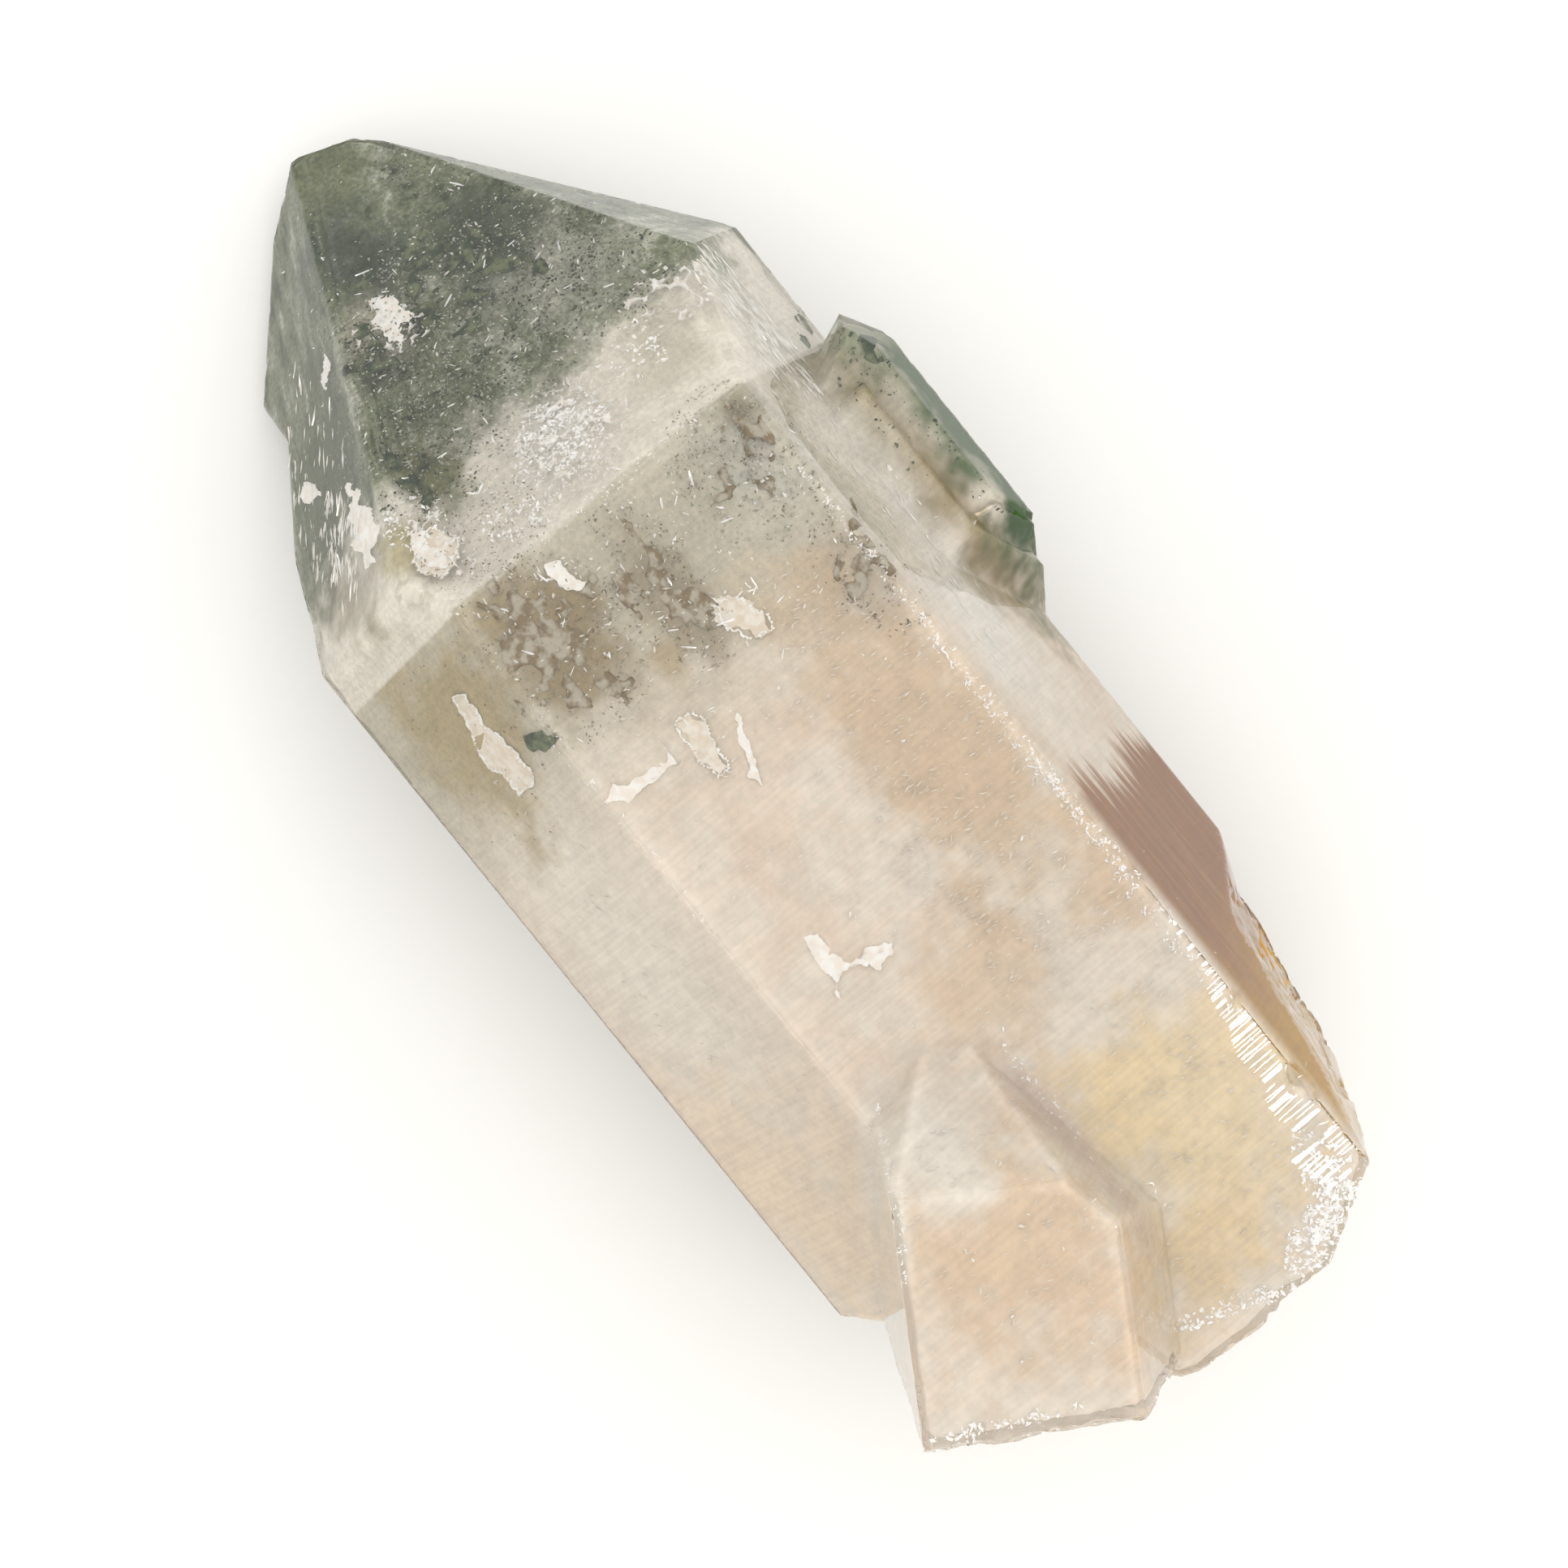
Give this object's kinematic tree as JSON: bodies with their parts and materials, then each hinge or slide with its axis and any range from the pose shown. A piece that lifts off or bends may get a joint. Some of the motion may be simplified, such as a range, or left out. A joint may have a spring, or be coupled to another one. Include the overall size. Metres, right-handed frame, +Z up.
{
  "type": "chlorite quartz crystal",
  "caption": "Natural quartz crystal lying on a prism face, with a green chlorite tip, a milky body, smaller crystals grown on its side and front, and a rough broken base.",
  "frame": {"origin": "middle of the crystal's outline seen from above, on the surface that it rests on", "axes": "+X along the large crystal's long axis towards its tip, +Z up, away from the prism face that it rests on"},
  "size_m": [0.0906, 0.0406, 0.0346],
  "materials": {
    "quartz": "natural crystal faces, clear to milky",
    "chlorite": "fine green flakes inside the quartz",
    "milky_veil": "cloudy veils and healed cracks inside the quartz"
  },
  "bodies": {
    "root": {"quartz_crystal": "quartz"}
  },
  "joints": []
}
